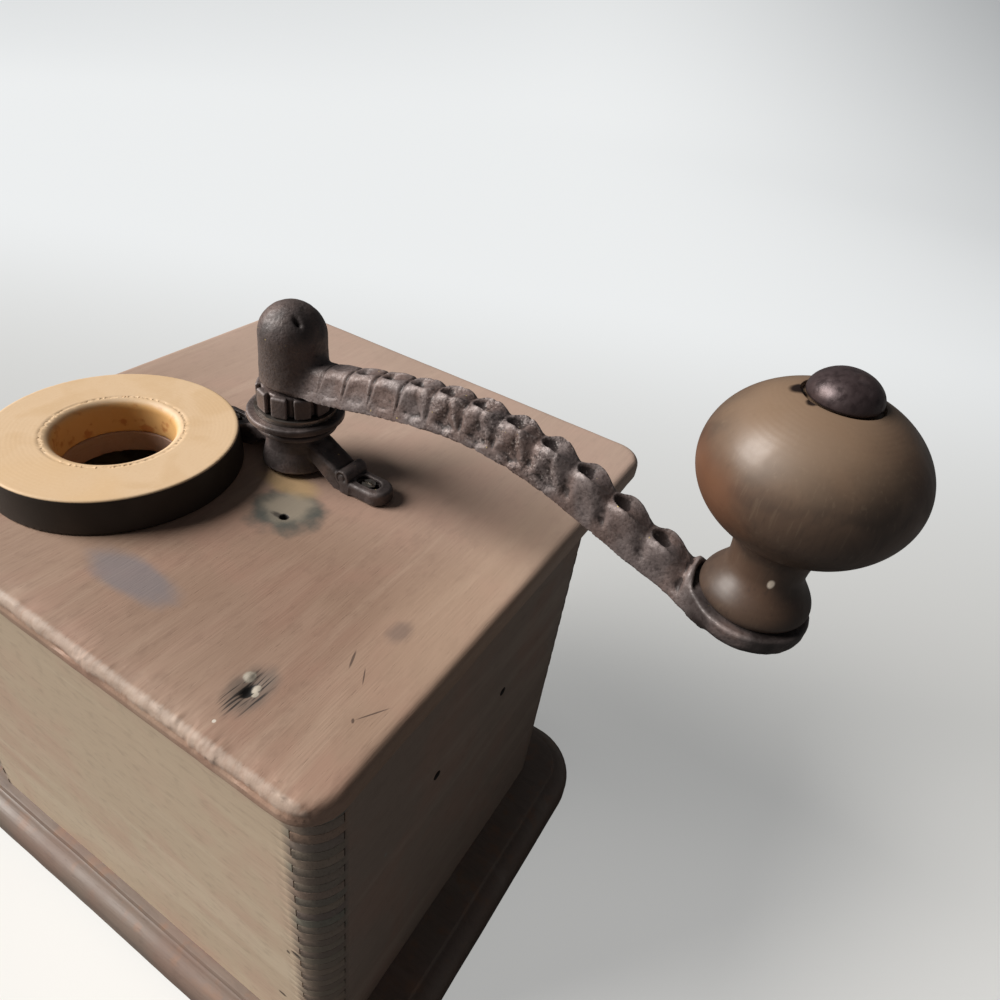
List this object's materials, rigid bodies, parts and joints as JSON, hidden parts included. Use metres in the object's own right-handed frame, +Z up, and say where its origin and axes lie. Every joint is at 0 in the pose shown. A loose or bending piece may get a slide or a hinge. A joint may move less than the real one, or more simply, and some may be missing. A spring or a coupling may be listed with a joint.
{
  "type": "wooden coffee grinder",
  "caption": "Box coffee grinder with a moulded base, round feed collar, iron bridge and swung crank with a turned knob, burr works inside and a sliding drawer.",
  "frame": {"origin": "centre of the case's plan, on the underside of the base board", "axes": "+Z up along the shaft; the drawer opens towards -Y and the crank points along -X at rest"},
  "size_m": [0.2527, 0.1717, 0.2299],
  "materials": {
    "top_wood": "old beech-like board, worn stain, dry and matt",
    "wall_wood": "old stained wood, worn and slightly greyed",
    "base_wood": "reddish brown stain, worn on the rounded edge",
    "collar_wood": "bare pale wood on top, dark stain on the side",
    "inner_wood": "bare wood, oiled by coffee",
    "knob_wood": "turned wood, dark stain, polished by the hand",
    "cast_iron": "brown lacquered casting, worn to a dull sheen",
    "dark_iron": "dark domed rivet, smooth",
    "worn_steel": "turned steel, dull",
    "screw_steel": "old wood screws, dull",
    "nail_iron": "dark cut nails",
    "tin_sheet": "tinned sheet, dull grey"
  },
  "bodies": {
    "housing": {"base_board": "base_wood", "back_wall": "wall_wood", "left_wall": "wall_wood", "right_wall": "wall_wood", "front_rail": "wall_wood", "top_board": "top_wood", "feed_collar": "collar_wood", "partition_board": "inner_wood", "partition_nails": "nail_iron", "base_screws": "screw_steel", "bean_funnel": "tin_sheet", "funnel_tacks": "nail_iron", "burr_casing": "cast_iron", "casing_screws": "screw_steel", "bearing_bar": "cast_iron", "bearing_bar_screws": "screw_steel", "bridge": "cast_iron", "bridge_screws": "screw_steel"},
    "washer": {"thrust_washer": "worn_steel"},
    "nut": {"adjusting_nut": "cast_iron"},
    "crank_and_cone": {"spindle": "worn_steel", "grinding_cone": "cast_iron", "cone_pin": "worn_steel", "crank": "cast_iron", "crank_set_screw": "screw_steel", "knob_rivet": "dark_iron"},
    "knob": {"crank_knob": "knob_wood"},
    "drawer": {"drawer_front": "wall_wood", "drawer_left_side": "inner_wood", "drawer_right_side": "inner_wood", "drawer_back": "inner_wood", "drawer_bottom": "inner_wood", "drawer_nails": "nail_iron", "drawer_knob": "knob_wood", "drawer_knob_screw": "screw_steel"}
  },
  "joints": [
    {"name": "crank_turn", "type": "hinge", "parent": "housing", "child": "washer", "pos_m": [0.0009, -0.0188, 0.1692], "axis": [0, 0, 1], "continuous": true},
    {"name": "nut_turn", "type": "hinge", "parent": "washer", "child": "nut", "pos_m": [0.0009, -0.0188, 0.174], "axis": [0, 0, 1], "range_deg": [-172.8, 172.8]},
    {"name": "grind_lift", "type": "slide", "parent": "washer", "child": "crank_and_cone", "axis": [0, 0, 1], "range_m": [-0.0006, 0.0006]},
    {"name": "knob_spin", "type": "hinge", "parent": "crank_and_cone", "child": "knob", "pos_m": [-0.1325, -0.0188, 0.2], "axis": [0, 0, 1], "continuous": true},
    {"name": "drawer_slide", "type": "slide", "parent": "housing", "child": "drawer", "axis": [0, -1, 0], "range_m": [0, 0.095]}
  ],
  "couplings": [
    {"joint": "nut_turn", "follows": "grind_lift", "rad_per_m": -5026.5}
  ]
}
